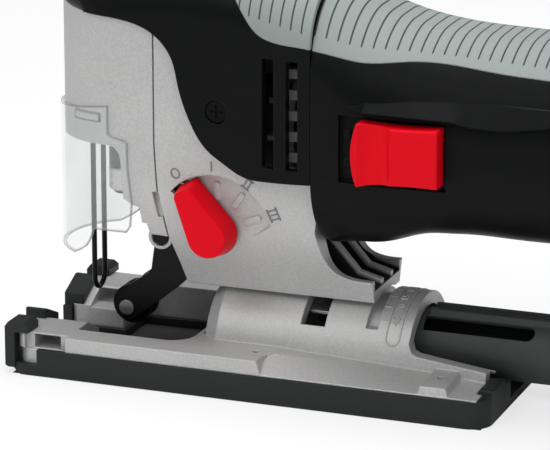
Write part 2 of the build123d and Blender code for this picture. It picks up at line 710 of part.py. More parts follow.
# Shroud and its grip
shroud_sections = [
    (nose_x, 23.8, 60, 122.0, 9),
    (-62.0, 23.8, 55, 127.5, 12),
    (-45.0, 23.8, 50, 131.0, 14),
    (-20.0, 25.2, 45, 133.0, 15),
    (0.0, 27.6, 45, 132.8, 17),
    (seam_x, 30.0, 45, 129.6, 19),
]
shroud_inner = [
    (nose_x - 1, 22.5, 50, 118.0, 8),
    (-62.0, 22.5, 50, 124.8, 10),
    (-45.0, 22.5, 48, 128.4, 12),
    (-20.0, 22.7, 40, 130.4, 13),
    (0.0, 24.4, 40, 130.2, 14),
    (seam_x + 0.5, 26.4, 40, 126.6, 16),
]
handle_sections = [
    (seam_x + seam_gap, 30.2, 46.4, 129.0, 26),
    (28.0, 31.2, 46.8, 125.2, 27),
    (36.0, 32.0, 47.3, 121.8, 28),
    (42.0, 32.3, 48.7, 119.8, 28),
    (48.0, 32.4, 50.8, 118.4, 28),
    (55.0, 32.4, 52.3, 117.3, 28),
    (65.0, 32.3, 52.9, 116.4, 28),
    (80.0, 32.2, 52.8, 115.9, 28),
    (95.0, 32.0, 52.7, 115.6, 28),
    (140.0, 31.0, 53.5, 114.6, 27),
    (178.0, 29.0, 55.6, 112.2, 25),
    (198.0, 25.0, 59.8, 108.0, 22),
    (handle_end, 19.0, 65.5, 102.6, 17),
]
# The hood over the switch: at each X its top, its lower edge and how far out it reaches
visor_sections = [
    (33.0, 96.8, 95.6, 32.2),
    (38.5, 99.6, 94.9, 34.6),
    (53.0, 100.6, 94.8, 35.2),
    (66.0, 100.4, 94.6, 34.8),
    (72.0, 100.4, 93.2, 33.9),
    (82.0, 100.4, 92.8, 33.3),
    (95.0, 100.4, 94.6, 32.2),
    (102.0, 100.0, 97.0, 31.2),
]


def spline_region(points, high):
    start, end = points[0], points[-1]
    edges = [Spline(*points), Line(end, (end[0], high)), Line((end[0], high), (start[0], high)),
             Line((start[0], high), start)]
    return extrude(side_plane(sole_width) * make_face(edges), amount=2 * sole_width)


def make_shroud_parts():
    plan = nose_plan(shroud_step, 0, 140, seam_x) + block(-46, seam_x, -60, 60, 0, 140)
    outer = hull_loft(shroud_sections) & plan
    outer = outer & spline_region(shroud_edge, 145)
    grip_region = spline_region([(-16.0, 140.0), (-9.0, 129.0), (-4.5, 123.0), (-1.6, 119.3), (2.1, 115.4),
                                 (9.2, 113.0), (14.8, 112.6), (seam_x, 112.2)], 145)
    middle = hull_loft(shroud_sections, grip_thickness)
    grip = (outer - middle) & grip_region
    shroud = outer - hull_loft(shroud_inner) - grip
    for index in (0, 1):
        x = vent_front_x - vent_width / 2 + index * vent_pitch
        slot = block(x, x + vent_width, -60, 60, vent_low_z, vent_low_z + vent_height)
        shroud -= slot
    recess = rod_y(screw_seat_y, 40, screw_head_radius + 0.2, screw_x, screw_z)
    shroud -= both_sides(recess + rod_y(head_half_width - 1, 40, screw_shank_radius, screw_x, screw_z))
    return shroud, grip


def make_visor():
    faces = []
    for x, high, low, reach in visor_sections:
        edge = Polyline((-visor_inner_y, high), (-reach, low + 0.5), (-visor_inner_y, low), close=True)
        faces.append(cross_plane(x) * make_face(edge))
    return loft(faces, ruled=True)


def make_handle_parts():
    outer = hull_loft(handle_sections)
    middle = hull_loft(handle_sections, grip_thickness)
    cavity = hull_loft(handle_sections, handle_wall)
    cavity -= block(handle_end - shell_wall - 1, handle_end + 1, -60, 60, 0, 140)
    region = spline_region([(seam_x, 111.8), (29.7, 110.1), (36.1, 109.1), (43.6, 109.3), (51.1, 109.9),
                            (63.9, 109.6), (73.8, 108.7), (83.6, 108.0), (92.8, 107.6), (120.0, 106.0),
                            (150.0, 103.5), (grip_end, 101.0)], 145)
    grip = (outer - middle) & region
    hollow = cavity
    stator_seat = stator_radius + 0.1
    for x, opening in ((stator_front + 2, stator_seat), (stator_front + stator_length - 6, stator_seat),
                       (brush_wall_x, commutator_radius + 2), (rear_bearing_x + 1, bearing_radius),
                       (switch_module_x + switch_module_length, bearing_radius)):
        rib = block(x, x + rib_thickness, -60, 60, 0, 140)
        hollow -= rib - rod_x(x - 1, x + rib_thickness + 1, opening, motor_axis_z)
    for x, z in handle_screw_spots:
        hollow -= rod_y(-60, 60, boss_radius, x, z)
    shell = outer - hollow - grip
    for x, z in handle_screw_spots:
        shell -= rod_y(-14, 60, screw_shank_radius, x, z)
        shell -= rod_y(handle_screw_seat, 60, screw_head_radius + 0.2, x, z)
    shell += make_visor() - cavity
    recess_front = switch_front - switch_travel - switch_side_gap
    recess_rear = switch_front + switch_length + switch_side_gap
    shell -= block(recess_front, recess_rear, -60, recess_floor_y, switch_low_z - switch_side_gap,
                   switch_low_z + switch_height + switch_side_gap)
    tab_x = recess_front + 1.2
    for z in (switch_low_z + 4.0, switch_low_z + switch_height - 4.0 - recess_tab_width):
        shell += block(tab_x, tab_x + recess_tab_length, recess_floor_y - recess_tab_height,
                       recess_floor_y + 0.4, z, z + recess_tab_width)
    slot_front, slot_rear = stem_x - switch_travel - 0.6, stem_x + stem_length + 0.6
    shell -= block(slot_front, slot_rear, -60, -20, stem_low_z - 0.6, stem_low_z + stem_height + 0.6)
    shell -= block(slot_front, slot_rear, -stem_inner_y - 0.6, -20, stem_low_z, link_low_z + link_height)
    shell -= block(stator_front - 2, switch_module_x + 0.5, -link_y - link_thickness - 0.6, 0.6 - link_y,
                   link_low_z - 0.6, link_low_z + link_height + 0.6)
    shell -= make_switch_module(seat_gap)
    shell -= rod_x(handle_end - 14, handle_end + 2, inlet_radius, motor_axis_z)
    for index in range(rear_vent_count):
        x = rear_vent_x + index * rear_vent_pitch
        slot = block(x, x + rear_vent_width, 12, 60, motor_axis_z - 10, motor_axis_z + 10)
        shell -= both_sides(slot)
    left = shell & block(0, handle_end + 10, -60, 0, 0, 150)
    right = shell & block(0, handle_end + 10, 0, 60, 0, 150)
    return left, right, grip


# Slide switch
def make_switch_button():
    base_y = recess_floor_y - switch_floor_gap
    rear = switch_front + switch_length
    middle_x = switch_front + switch_length / 2
    low, high = switch_low_z, switch_low_z + switch_height
    corner_x = switch_front + switch_bulge
    edges = [ThreePointArc((corner_x, low), (switch_front, (low + high) / 2), (corner_x, high)),
             ThreePointArc((corner_x, high), (middle_x, high - switch_waist), (rear, high)),
             Line((rear, high), (rear, low + switch_rear_lift)),
             ThreePointArc((rear, low + switch_rear_lift),
                           (middle_x, low + switch_waist + switch_rear_lift / 2), (corner_x, low))]
    button = extrude(side_plane(base_y) * make_face(edges), amount=switch_rise)
    button = fillet(button.edges().group_by(Axis.Y)[0], switch_edge)
    scoop_y = base_y - switch_rise + scoop_depth - scoop_radius
    button -= rod_z(low - 1, high + 1, scoop_radius, switch_front + scoop_x, scoop_y)
    stem = block(stem_x, stem_x + stem_length, base_y - 1, -stem_inner_y, stem_low_z,
                 stem_low_z + stem_height)
    return button + stem


def make_switch_link():
    strip = block(stem_x, switch_module_x, -link_y - link_thickness, -link_y, link_low_z,
                  link_low_z + link_height)
    tab = block(stem_x, stem_x + stem_length, -stem_inner_y, -stem_inner_y + 2, stem_low_z, link_low_z + 2)
    shoulder = block(stem_x, stem_x + stem_length, -stem_inner_y, -link_y, link_low_z, link_low_z + 2)
    return strip + tab + shoulder


def make_switch_module(grow=0.0):
    body = block(switch_module_x - grow, switch_module_x + switch_module_length + grow, -link_y - 1 - grow,
                 grow - 3, motor_axis_z - 10 - grow, link_low_z + link_height + 1 + grow)
    return fillet(body.edges().filter_by(Axis.X), 1.5)


# Pendulum knob: the hub's round end narrows to a flat tip
def knob_outline(grow, y):
    hub = knob_hub_radius + grow
    tip = knob_reach + grow
    half = knob_tip_half_width + grow
    lean = math.acos((hub - half) / tip)
    side = (hub * math.cos(lean), hub * math.sin(lean))
    edges = [Line((tip, -half), (tip, half)), Line((tip, half), side),
             ThreePointArc(side, (-hub, 0), (side[0], -side[1])), Line((side[0], -side[1]), (tip, -half))]
    face = make_face(edges)
    face = fillet(face.vertices().group_by(Axis.X)[-1], knob_tip_corner)
    return side_plane(y) * Pos(knob_x, knob_z) * Rot(0, 0, knob_angle) * face


def make_knob():
    draft = knob_height * math.tan(math.radians(knob_taper))
    faces = [knob_outline(0.0, knob_inner_y), knob_outline(-draft, knob_inner_y - knob_height)]
    knob = loft(faces, ruled=True)
    return fillet(knob.edges().group_by(Axis.Y)[0], knob_edge)


def make_knob_shaft():
    return rod_y(knob_inner_y, -8.6, knob_shaft_radius, knob_x, knob_z)


# Roller lever and roller
def make_roller_lever():
    outline = [(axle_x - 2.8, axle_z + 3.2), (-49.2, 24.1), (-42.5, 28.7), (-41.4, 30.3), (-40.4, 37.5),
               (pivot_x - lever_boss_radius, pivot_z), (pivot_x + lever_boss_radius, pivot_z), (-33.2, 39.4),
               (-31.0, 33.0), (-29.6, 28.2), (-38.2, 20.2), (axle_x + 2.6, axle_z - 3.3)]
    lever = side_slab(outline, -lever_half_width, lever_half_width)
    lever += rod_y(-lever_half_width, lever_half_width, lever_eye_radius, axle_x, axle_z)
    lever += rod_y(-lever_half_width, lever_half_width, lever_boss_radius, pivot_x, pivot_z)
    fork = lever_half_width - lever_plate
    lever -= side_slab([(axle_x - 20, 0), (-30, 0), (-37, 25.5), (-44, 27.0), (axle_x - 20, 27.0)],
                       -fork, fork)
    lever -= rod_y(-60, 60, pivot_radius + running_gap, pivot_x, pivot_z)
    lever -= rod_y(-60, 60, axle_radius, axle_x, axle_z)
    return lever


def make_guide_roller():
    half = lever_half_width - lever_plate - roller_side_gap
    roller = rod_y(-half, half, roller_radius, axle_x, axle_z)
    groove = rod_y(-roller_groove, roller_groove, roller_radius + 1, axle_x, axle_z)
    groove -= rod_y(-roller_groove, roller_groove, roller_radius - roller_groove, axle_x, axle_z)
    return roller - groove - rod_y(-20, 20, axle_radius + running_gap, axle_x, axle_z)


def make_roller_axle():
    return rod_y(-axle_half_length, axle_half_length, axle_radius, axle_x, axle_z)


def make_pivot_pin():
    reach = lever_pocket_half + ear_thickness - ear_recess_depth
    head = rod_y(reach, reach + pivot_head_length, ear_recess_radius - pivot_head_gap, pivot_x, pivot_z)
    return rod_y(-reach, reach, pivot_radius, pivot_x, pivot_z) + both_sides(head)


# Plunger
def make_plunger():
    return rod_z(clamp_top_z - 6, plunger_top_z, plunger_radius, plunger_x)


def make_blade_clamp():
    body = rod_z(clamp_top_z - clamp_length, clamp_top_z - 6, clamp_radius, plunger_x)
    collar = rod_z(clamp_top_z - 7, clamp_top_z, plunger_radius + 1.0, plunger_x)
    collar -= rod_z(clamp_top_z - 6, clamp_top_z, plunger_radius, plunger_x)
    slot = block(plunger_x - 3.4, plunger_x + 3.4, -blade_slot_width / 2, blade_slot_width / 2,
                 clamp_top_z - clamp_length - 1, clamp_top_z - 8)
    return body + collar - slot


def make_clamp_sleeve():
    low = clamp_top_z - clamp_length + 1.0
    sleeve = rod_z(low, low + sleeve_length, sleeve_radius, plunger_x)
    sleeve = chamfer(sleeve.edges(), 0.6)
    ear = block(plunger_x - 1.4, plunger_x + 1.4, 0, sleeve_radius + 2.6, low + 1, low + sleeve_length - 1.4)
    return sleeve + ear - rod_z(low - 1, low + sleeve_length, clamp_radius + running_gap, plunger_x)


def make_bush(z0, length):
    bush = rod_z(z0, z0 + length, plunger_radius + bush_wall, plunger_x)
    return bush - rod_z(z0 - 1, z0 + length + 1, plunger_radius + running_gap, plunger_x)


def make_yoke():
    centre = gear_axis_z + plunger_rest_lift
    slot_half = crank_radius + crank_pin_radius + 0.3
    slot_high = crank_pin_radius + yoke_slack
    rear = yoke_front + yoke_thickness
    yoke = block(yoke_front, rear, -slot_half - yoke_rim, slot_half + yoke_rim,
                 centre - slot_high - yoke_rim, centre + slot_high + yoke_rim)
    yoke += block(yoke_front, rear, -5.5, 5.5, centre, arm_centre_z + arm_half_height)
    yoke -= block(yoke_front - 1, rear + 1, -slot_half, slot_half, centre - slot_high, centre + slot_high)
    low, high = arm_centre_z - arm_half_height, arm_centre_z + arm_half_height
    yoke += block(plunger_x, rear, -5.5, 5.5, low, high)
    yoke += rod_z(low, high, plunger_radius + bush_wall, plunger_x)
    return yoke - rod_z(low - 1, high + 1, plunger_radius, plunger_x)


# Gear train
def gear_outline(teeth, first_angle):
    pitch = gear_module * teeth / 2
    tip = pitch + 0.85 * gear_module
    root = pitch - 1.15 * gear_module
    points = []
    for index in range(teeth):
        middle = first_angle + 360 / teeth * index
        for radius, sign in ((root, -1), (tip, -1), (tip, 1), (root, 1)):
            lean = (radius - pitch) * math.tan(math.radians(22))
            half = math.pi * gear_module / 4 - tooth_backlash / 2 - lean
            spread = min(half / radius, 0.94 * math.pi / teeth)
            turn = math.radians(middle) + sign * spread
            points.append((radius * math.cos(turn), radius * math.sin(turn)))
    return make_face(Polyline(*points, close=True))


def make_drive_gear():
    outline = gear_outline(gear_teeth, 90)
    gear = extrude(cross_plane(gear_front) * Pos(0, gear_axis_z) * outline, amount=gear_width)
    gear -= rod_x(gear_front - 1, gear_front + gear_width + 1, gear_axle_radius + running_gap, gear_axis_z)
    y, z = crank_pin_place()
    return gear - rod_x(gear_front - 1, gear_front + 4, crank_pin_radius, z, y)


def crank_pin_place():
    angle = math.radians(crank_rest_angle)
    return crank_radius * math.cos(angle), gear_axis_z + crank_radius * math.sin(angle)


def make_crank_pin():
    y, z = crank_pin_place()
    return rod_x(yoke_front - 0.6, gear_front + 4, crank_pin_radius, z, y)


def make_gear_axle():
    return rod_x(gear_front, wall_rear, gear_axle_radius, gear_axis_z)


def make_pinion():
    outline = gear_outline(pinion_teeth, 90 + 180 + 180 / pinion_teeth)
    return extrude(cross_plane(gear_front - 0.4) * Pos(0, motor_axis_z) * outline, amount=gear_width + 0.6)


def make_armature_shaft():
    return rod_x(gear_front + gear_width + 0.2, rear_bearing_x + bearing_width, shaft_radius, motor_axis_z)


def on_shaft(x0, x1, radius):
    return rod_x(x0, x1, radius, motor_axis_z) - rod_x(x0 - 1, x1 + 1, shaft_radius, motor_axis_z)


def make_armature_core():
    core = on_shaft(stator_front, stator_front + stator_length, armature_radius)
    slots = 12
    for index in range(slots):
        notch = block(stator_front - 1, stator_front + stator_length + 1, -0.8, 0.8, armature_radius - 5,
                      armature_radius + 1)
        core -= Pos(0, 0, motor_axis_z) * Rot(360 / slots * index, 0, 0) * notch
    return core


def make_armature_winding():
    rear = stator_front + stator_length
    front_coil = on_shaft(stator_front - 6, stator_front, armature_radius - 2)
    rear_coil = on_shaft(rear, commutator_x - commutator_length / 2, armature_radius - 3)
    return Compound(children=[front_coil, rear_coil])


def make_commutator():
    half = commutator_length / 2
    return on_shaft(commutator_x - half, commutator_x + half, commutator_radius)


def make_fan():
    fan = on_shaft(fan_front, fan_front + fan_width, shaft_radius + 3.5)
    fan += on_shaft(fan_front + fan_width - 1.8, fan_front + fan_width, impeller_radius)
    for index in range(impeller_blades):
        blade = block(fan_front, fan_front + fan_width - 1, -0.8, 0.8, shaft_radius + 2,
                      impeller_radius - 0.6)
        fan += Pos(0, 0, motor_axis_z) * Rot(360 / impeller_blades * index, 0, 0) * blade
    return fan


def make_bearing(x0):
    ring = rod_x(x0, x0 + bearing_width, bearing_radius, motor_axis_z)
    ring -= rod_x(x0 - 1, x0 + bearing_width + 1, shaft_radius + running_gap, motor_axis_z)
    race = on_shaft(x0 - 1, x0 + 0.6, bearing_radius - 1.8) - on_shaft(x0 - 2, x0 + 1, shaft_radius + 1.8)
    return ring - race


def make_stator():
    rear = stator_front + stator_length
    ring = rod_x(stator_front, rear, stator_radius, motor_axis_z)
    return ring - rod_x(stator_front - 1, rear + 1, armature_radius + air_gap, motor_axis_z)


def make_field_coils():
    coils = []
    rear = stator_front + stator_length
    for x0, x1 in ((stator_front - 5, stator_front), (rear, rear + 3)):
        ring = rod_x(x0, x1, stator_radius - 2, motor_axis_z)
        ring -= rod_x(x0 - 1, x1 + 1, armature_radius + 1.5, motor_axis_z)
        for side in (1, -1):
            z0, z1 = sorted((motor_axis_z + side * 5, motor_axis_z + side * 40))
            coils.append(ring & block(x0 - 1, x1 + 1, -60, 60, z0, z1))
    return Compound(children=coils)


def make_brush_holders():
    inner = commutator_radius + 2.4
    outer = inner + brush_length + 4
    holder = block(commutator_x - 5.5, brush_wall_x, inner, outer, motor_axis_z - 5.5, motor_axis_z + 5.5)
    half = brush_section / 2 + running_gap
    holder -= block(commutator_x - half, commutator_x + half, 0, outer - 1.4, motor_axis_z - half,
                    motor_axis_z + half)
    return two_solids(holder)


def make_brushes():
    half = brush_section / 2
    brush = block(commutator_x - half, commutator_x + half, commutator_radius - 1.5,
                  commutator_radius + 2.0 + brush_length, motor_axis_z - half, motor_axis_z + half)
    brush -= rod_x(commutator_x - 10, commutator_x + 10, commutator_radius + running_gap, motor_axis_z)
    return two_solids(brush)


# Base clamp
def make_clamp_plate():
    reach = saddle_bore - 0.3
    flat_z = bevel_axis_z + reach - 3.4
    plate = rod_x(arc_slot_x - 8.4, arc_slot_x + 8.4, reach, bevel_axis_z)
    plate &= block(arc_slot_x - 9, arc_slot_x + 9, -9, 9, flat_z, bevel_axis_z + reach + 1)
    return plate - rod_z(flat_z - 1, flat_z + 9, clamp_screw_radius, arc_slot_x)


def make_clamp_screw():
    flat_z = bevel_axis_z + saddle_bore - 3.7
    shank = rod_z(flat_z, foot_slab_z - 0.5, clamp_screw_radius, arc_slot_x)
    head = rod_z(flat_z - 4.2, flat_z, 4.2, arc_slot_x)
    hexagon = Pos(arc_slot_x, 0, flat_z - 4.3) * extrude(RegularPolygon(2.3, 6), amount=2.4)
    return shank + head - hexagon


# Fasteners
def make_screw(shank_from, shank_to, seat):
    shank = rod_y(shank_from, shank_to, screw_shank_radius, 0, 0)
    head = rod_y(seat, seat + screw_head_height, screw_head_radius, 0, 0)
    cross_y = seat + screw_head_height - screw_cross_depth
    cross = block(-0.5, 0.5, cross_y, seat + 3, -2.2, 2.2)
    cross += block(-2.2, 2.2, cross_y, seat + 3, -0.5, 0.5)
    return shank + head - cross


def make_shroud_screws():
    screw = Pos(screw_x, 0, screw_z) * make_screw(14.0, screw_seat_y, screw_seat_y)
    return two_solids(screw)


def make_handle_screws():
    screws = []
    for x, z in handle_screw_spots:
        screws.append(Pos(x, 0, z) * make_screw(-13.5, handle_screw_seat, handle_screw_seat))
    return Compound(children=screws)


def make_cord_inlet():
    ring = rod_x(handle_end - 8, handle_end, inlet_radius, motor_axis_z)
    ring += rod_x(handle_end, handle_end + 2.5, inlet_radius + 2.5, motor_axis_z)
    return ring - rod_x(handle_end - 9, handle_end + 4, inlet_bore, motor_axis_z)


nodes = {}
nodes["sliding_sole"] = make_sole()
nodes["base_plate"] = make_base_plate()
nodes["dust_tube"] = make_dust_tube()
nodes["gear_housing"] = make_gear_housing()
nodes["gear_cover"] = make_gear_cover()
nodes["wire_guard"] = make_wire_guard()
nodes["clear_guard"] = make_clear_guard()
nodes["front_shroud"], nodes["front_grip"] = make_shroud_parts()
nodes["handle_shell_left"], nodes["handle_shell_right"], nodes["rear_grip"] = make_handle_parts()
nodes["switch_button"] = make_switch_button()
nodes["switch_link"] = make_switch_link()
nodes["switch_module"] = make_switch_module()
nodes["pendulum_knob"] = make_knob()
nodes["knob_shaft"] = make_knob_shaft()
nodes["roller_lever"] = make_roller_lever()
nodes["guide_roller"] = make_guide_roller()
nodes["roller_axle"] = make_roller_axle()
nodes["lever_pivot_pin"] = make_pivot_pin()
nodes["plunger_rod"] = make_plunger()
nodes["blade_clamp"] = make_blade_clamp()
nodes["clamp_sleeve"] = make_clamp_sleeve()
nodes["lower_bush"] = make_bush(lower_bush_z, lower_bush_length)
nodes["upper_bush"] = make_bush(upper_bush_z, upper_bush_length)
nodes["yoke"] = make_yoke()
nodes["drive_gear"] = make_drive_gear()
nodes["crank_pin"] = make_crank_pin()
nodes["gear_axle"] = make_gear_axle()
nodes["pinion"] = make_pinion()
nodes["armature_shaft"] = make_armature_shaft()
nodes["armature_core"] = make_armature_core()
nodes["armature_winding"] = make_armature_winding()
nodes["commutator"] = make_commutator()
nodes["cooling_fan"] = make_fan()
nodes["front_bearing"] = make_bearing(wall_front + 1.2)
nodes["rear_bearing"] = make_bearing(rear_bearing_x)
nodes["stator"] = make_stator()
nodes["field_coils"] = make_field_coils()
nodes["brush_holders"] = make_brush_holders()
nodes["carbon_brushes"] = make_brushes()
nodes["base_clamp_plate"] = make_clamp_plate()
nodes["base_clamp_screw"] = make_clamp_screw()
nodes["shroud_screws"] = make_shroud_screws()
nodes["handle_screws"] = make_handle_screws()
nodes["cord_inlet"] = make_cord_inlet()

for name, shape in nodes.items():
    export_step(shape, f"parts/{name}.step")
    print(name, len(shape.solids()), round(shape.volume))
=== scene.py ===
import math

import bpy
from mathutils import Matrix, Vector
from mathutils.bvhtree import BVHTree


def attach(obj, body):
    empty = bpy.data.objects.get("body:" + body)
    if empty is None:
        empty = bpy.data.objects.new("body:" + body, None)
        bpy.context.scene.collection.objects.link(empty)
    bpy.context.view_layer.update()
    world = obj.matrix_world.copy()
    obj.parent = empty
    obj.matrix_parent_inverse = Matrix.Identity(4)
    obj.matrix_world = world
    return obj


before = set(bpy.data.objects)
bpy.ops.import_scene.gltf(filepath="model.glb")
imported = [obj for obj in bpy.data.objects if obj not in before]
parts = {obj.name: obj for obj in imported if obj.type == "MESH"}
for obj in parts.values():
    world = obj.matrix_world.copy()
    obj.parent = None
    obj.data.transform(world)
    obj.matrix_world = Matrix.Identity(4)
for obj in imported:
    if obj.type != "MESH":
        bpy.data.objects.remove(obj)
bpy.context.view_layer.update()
print("frame loaded:", len(parts), "nodes")


class Wire:  # one socket, so that node maths reads as plain expressions
    def __init__(self, bench, socket):
        self.bench = bench
        self.socket = socket

    def maths(self, operation, first, second):
        return self.bench.add("ShaderNodeMath", {"operation": operation}, {0: first, 1: second})

    def __add__(self, other):
        return self.maths("ADD", self, other)

    def __sub__(self, other):
        return self.maths("SUBTRACT", self, other)

    def __rsub__(self, other):
        return self.maths("SUBTRACT", other, self)

    def __mul__(self, other):
        return self.maths("MULTIPLY", self, other)

    def __truediv__(self, other):
        return self.maths("DIVIDE", self, other)

    def __mod__(self, other):
        return self.maths("FLOORED_MODULO", self, other)

    def __pow__(self, other):
        return self.maths("POWER", self, other)

    def __lt__(self, other):
        return self.maths("LESS_THAN", self, other)

    def __gt__(self, other):
        return self.maths("GREATER_THAN", self, other)

    def clamped(self):
        return self.bench.add("ShaderNodeClamp", {}, {0: self})


class Bench:  # one node tree and the single way that nodes get into it
    def __init__(self, tree):
        self.tree = tree

    def add(self, kind, settings=None, inputs=None, output=0):
        node = self.tree.nodes.new(kind)
        for key, value in (settings or {}).items():
            setattr(node, key, value)
        for key, value in (inputs or {}).items():
            if isinstance(value, Wire):
                self.tree.links.new(value.socket, node.inputs[key])
            else:
                node.inputs[key].default_value = value
        return Wire(self, node.outputs[output]) if node.outputs else node

    def noise(self, scale, detail=2.0, stretch=(1, 1, 1)):
        place = self.add("ShaderNodeTexCoord", output="Object")
        if stretch != (1, 1, 1):
            place = self.add("ShaderNodeMapping", {}, {"Vector": place, "Scale": stretch})
        return self.add("ShaderNodeTexNoise", {}, {"Vector": place, "Scale": scale, "Detail": detail})

    def blend(self, factor, first, second):
        return self.add("ShaderNodeMix", {"data_type": "RGBA"}, {0: factor, 6: first, 7: second}, 2)

    def bump(self, strength, distance, height, normal):
        return self.add("ShaderNodeBump", {}, {"Strength": strength, "Distance": distance, "Height": height,
                                               "Normal": normal})

    def edges(self, radius, samples=4, gain=4.0):  # soft corner normal, and a mask bright on corners
        soft = self.add("ShaderNodeBevel", {"samples": samples}, {"Radius": radius})
        flat = self.add("ShaderNodeNewGeometry", output="Normal")
        facing = self.add("ShaderNodeVectorMath", {"operation": "DOT_PRODUCT"}, {0: soft, 1: flat}, "Value")
        return soft, ((1.0 - facing) * gain).clamped()


def rgb(r, g, b):
    return (r, g, b, 1.0)


def newFinish(name):
    material = bpy.data.materials.new(name)
    material.use_nodes = True
    material.node_tree.nodes.clear()
    return material, Bench(material.node_tree)


def closeFinish(bench, inputs):
    shader = bench.add("ShaderNodeBsdfPrincipled", {}, inputs)
    bench.add("ShaderNodeOutputMaterial", {}, {"Surface": shader})


# bead blasted casting: fine speckle, faint mottling, and a painted highlight that makes the corners brighter
castMetal = {"tone": rgb(0.60, 0.60, 0.595), "deep": rgb(0.44, 0.44, 0.44), "edge": rgb(0.76, 0.76, 0.755),
             "speckle": 1500.0, "mottle": 45.0, "mottleShare": 0.5, "speckleShare": 1.5, "shift": 0.5,
             "corner": 0.0007, "edgeShare": 0.7, "metal": 0.45, "roughLow": 0.37, "roughSpread": 0.22,
             "bump": 0.16, "bumpDepth": 0.0004}
# raised marks painted darker than the casting: painted shade standing in for their relief shading
markMetal = dict(castMetal, tone=rgb(0.30, 0.30, 0.30), deep=rgb(0.24, 0.24, 0.24),
                 edge=rgb(0.36, 0.36, 0.36))
# painted shade between the housing's fins, below their two straight edges
finPaintedShade = {"tone": rgb(0.020, 0.020, 0.020), "half": 0.01212, "front": -0.0052, "low": 0.0322, "high": 0.0602,
           "edges": [((0.0282, 0.0364), (0.745, 0.667)), ((0.0355, 0.0344), (0.264, 0.964))], "bare": 0.0006,
           "fade": 0.0010}


# painted shade: a mask over the channel between the fins, kept clear of the fins' edges
def paintedShadeMask(bench, paintedShade):
    place = bench.add("ShaderNodeTexCoord", output="Object")
    along, across, upward = [bench.add("ShaderNodeSeparateXYZ", {}, {0: place}, axis) for axis in "XYZ"]
    reach = bench.add("ShaderNodeMath", {"operation": "ABSOLUTE"}, {0: across})
    depths = [(x - along) * nx + (z - upward) * nz for (x, z), (nx, nz) in paintedShade["edges"]]
    depth = bench.add("ShaderNodeMath", {"operation": "MAXIMUM"}, {0: depths[0], 1: depths[1]})
    level = (upward > paintedShade["low"]) * (upward < paintedShade["high"])
    inside = (reach < paintedShade["half"]) * (along > paintedShade["front"]) * level
    return inside * ((depth - paintedShade["bare"]) / paintedShade["fade"]).clamped()


def makeCastFinish(name, look, paintedShade=None):
    material, bench = newFinish(name)
    soft, corner = bench.edges(look["corner"])
    speckle = bench.noise(look["speckle"], 3.0)
    mottle = bench.noise(look["mottle"], 4.0)
    grade = (mottle * look["mottleShare"] + speckle * look["speckleShare"] - look["shift"]).clamped()
    tone = bench.blend(grade, look["deep"], look["tone"])
    # painted highlight: corners blended towards the lighter edge colour
    colour = bench.blend(corner * look["edgeShare"], tone, look["edge"])
    # the channel between the fins is painted dark: painted shade
    if paintedShade:
        colour = bench.blend(paintedShadeMask(bench, paintedShade), colour, paintedShade["tone"])
    normal = bench.bump(look["bump"], look["bumpDepth"], speckle, soft)
    closeFinish(bench, {"Base Color": colour, "Metallic": look["metal"],
                        "Roughness": speckle * look["roughSpread"] + look["roughLow"], "Normal": normal})
    return material


# moulded plastic: spark textured, a painted highlight that lightens corners and creases, and polish on the
# corners
moulding = {"cloudShare": 0.8, "grainShare": 0.4, "shift": 0.2, "edgeShare": 0.45, "bumpDepth": 0.0003,
            "roughSpread": 0.16, "roughDrop": 0.08, "polish": 0.1}
blackPlastic = {"tone": rgb(0.0035, 0.0038, 0.0038), "pale": rgb(0.0070, 0.0075, 0.0075),
                "edge": rgb(0.030, 0.032, 0.032), "grain": 2600.0, "cloud": 30.0, "corner": 0.0006,
                "rough": 0.36, "bump": 0.20, "gloss": 0.07}
solePlastic = {"tone": rgb(0.018, 0.0205, 0.0205), "pale": rgb(0.026, 0.029, 0.029),
               "edge": rgb(0.06, 0.064, 0.064), "grain": 1800.0, "cloud": 25.0, "corner": 0.0006,
               "rough": 0.44, "bump": 0.12, "gloss": 0.20}
tubePlastic = {"tone": rgb(0.044, 0.048, 0.049), "pale": rgb(0.062, 0.067, 0.068),
               "edge": rgb(0.10, 0.105, 0.105), "grain": 2200.0, "cloud": 35.0, "corner": 0.0005,
               "rough": 0.55, "bump": 0.28, "gloss": 0.35}
greyPlastic = {"tone": rgb(0.07, 0.073, 0.076), "pale": rgb(0.09, 0.093, 0.096),
               "edge": rgb(0.13, 0.135, 0.14), "grain": 2000.0, "cloud": 40.0, "corner": 0.0004,
               "rough": 0.5, "bump": 0.12, "gloss": 0.4}
redPlastic = {"tone": rgb(0.72, 0.0012, 0.010), "pale": rgb(0.80, 0.002, 0.013),
              "edge": rgb(0.88, 0.02, 0.035), "grain": 1600.0, "cloud": 60.0, "corner": 0.0008,
              "rough": 0.36, "bump": 0.03, "gloss": 0.08}


def makePlasticFinish(name, look):
    material, bench = newFinish(name)
    soft, corner = bench.edges(look["corner"])
    grain = bench.noise(look["grain"], 2.0)
    cloud = bench.noise(look["cloud"], 5.0)
    grade = (cloud * moulding["cloudShare"] + grain * moulding["grainShare"] - moulding["shift"]).clamped()
    tone = bench.blend(grade, look["tone"], look["pale"])
    # painted highlight: corners and creases blended towards the lighter edge colour
    colour = bench.blend(corner * moulding["edgeShare"], tone, look["edge"])
    normal = bench.bump(look["bump"], moulding["bumpDepth"], grain, soft)
    dull = cloud * moulding["roughSpread"] + (look["rough"] - moulding["roughDrop"])
    closeFinish(bench, {"Base Color": colour, "Roughness": dull - corner * moulding["polish"],
                        "Specular IOR Level": look["gloss"], "Normal": normal})
    return material


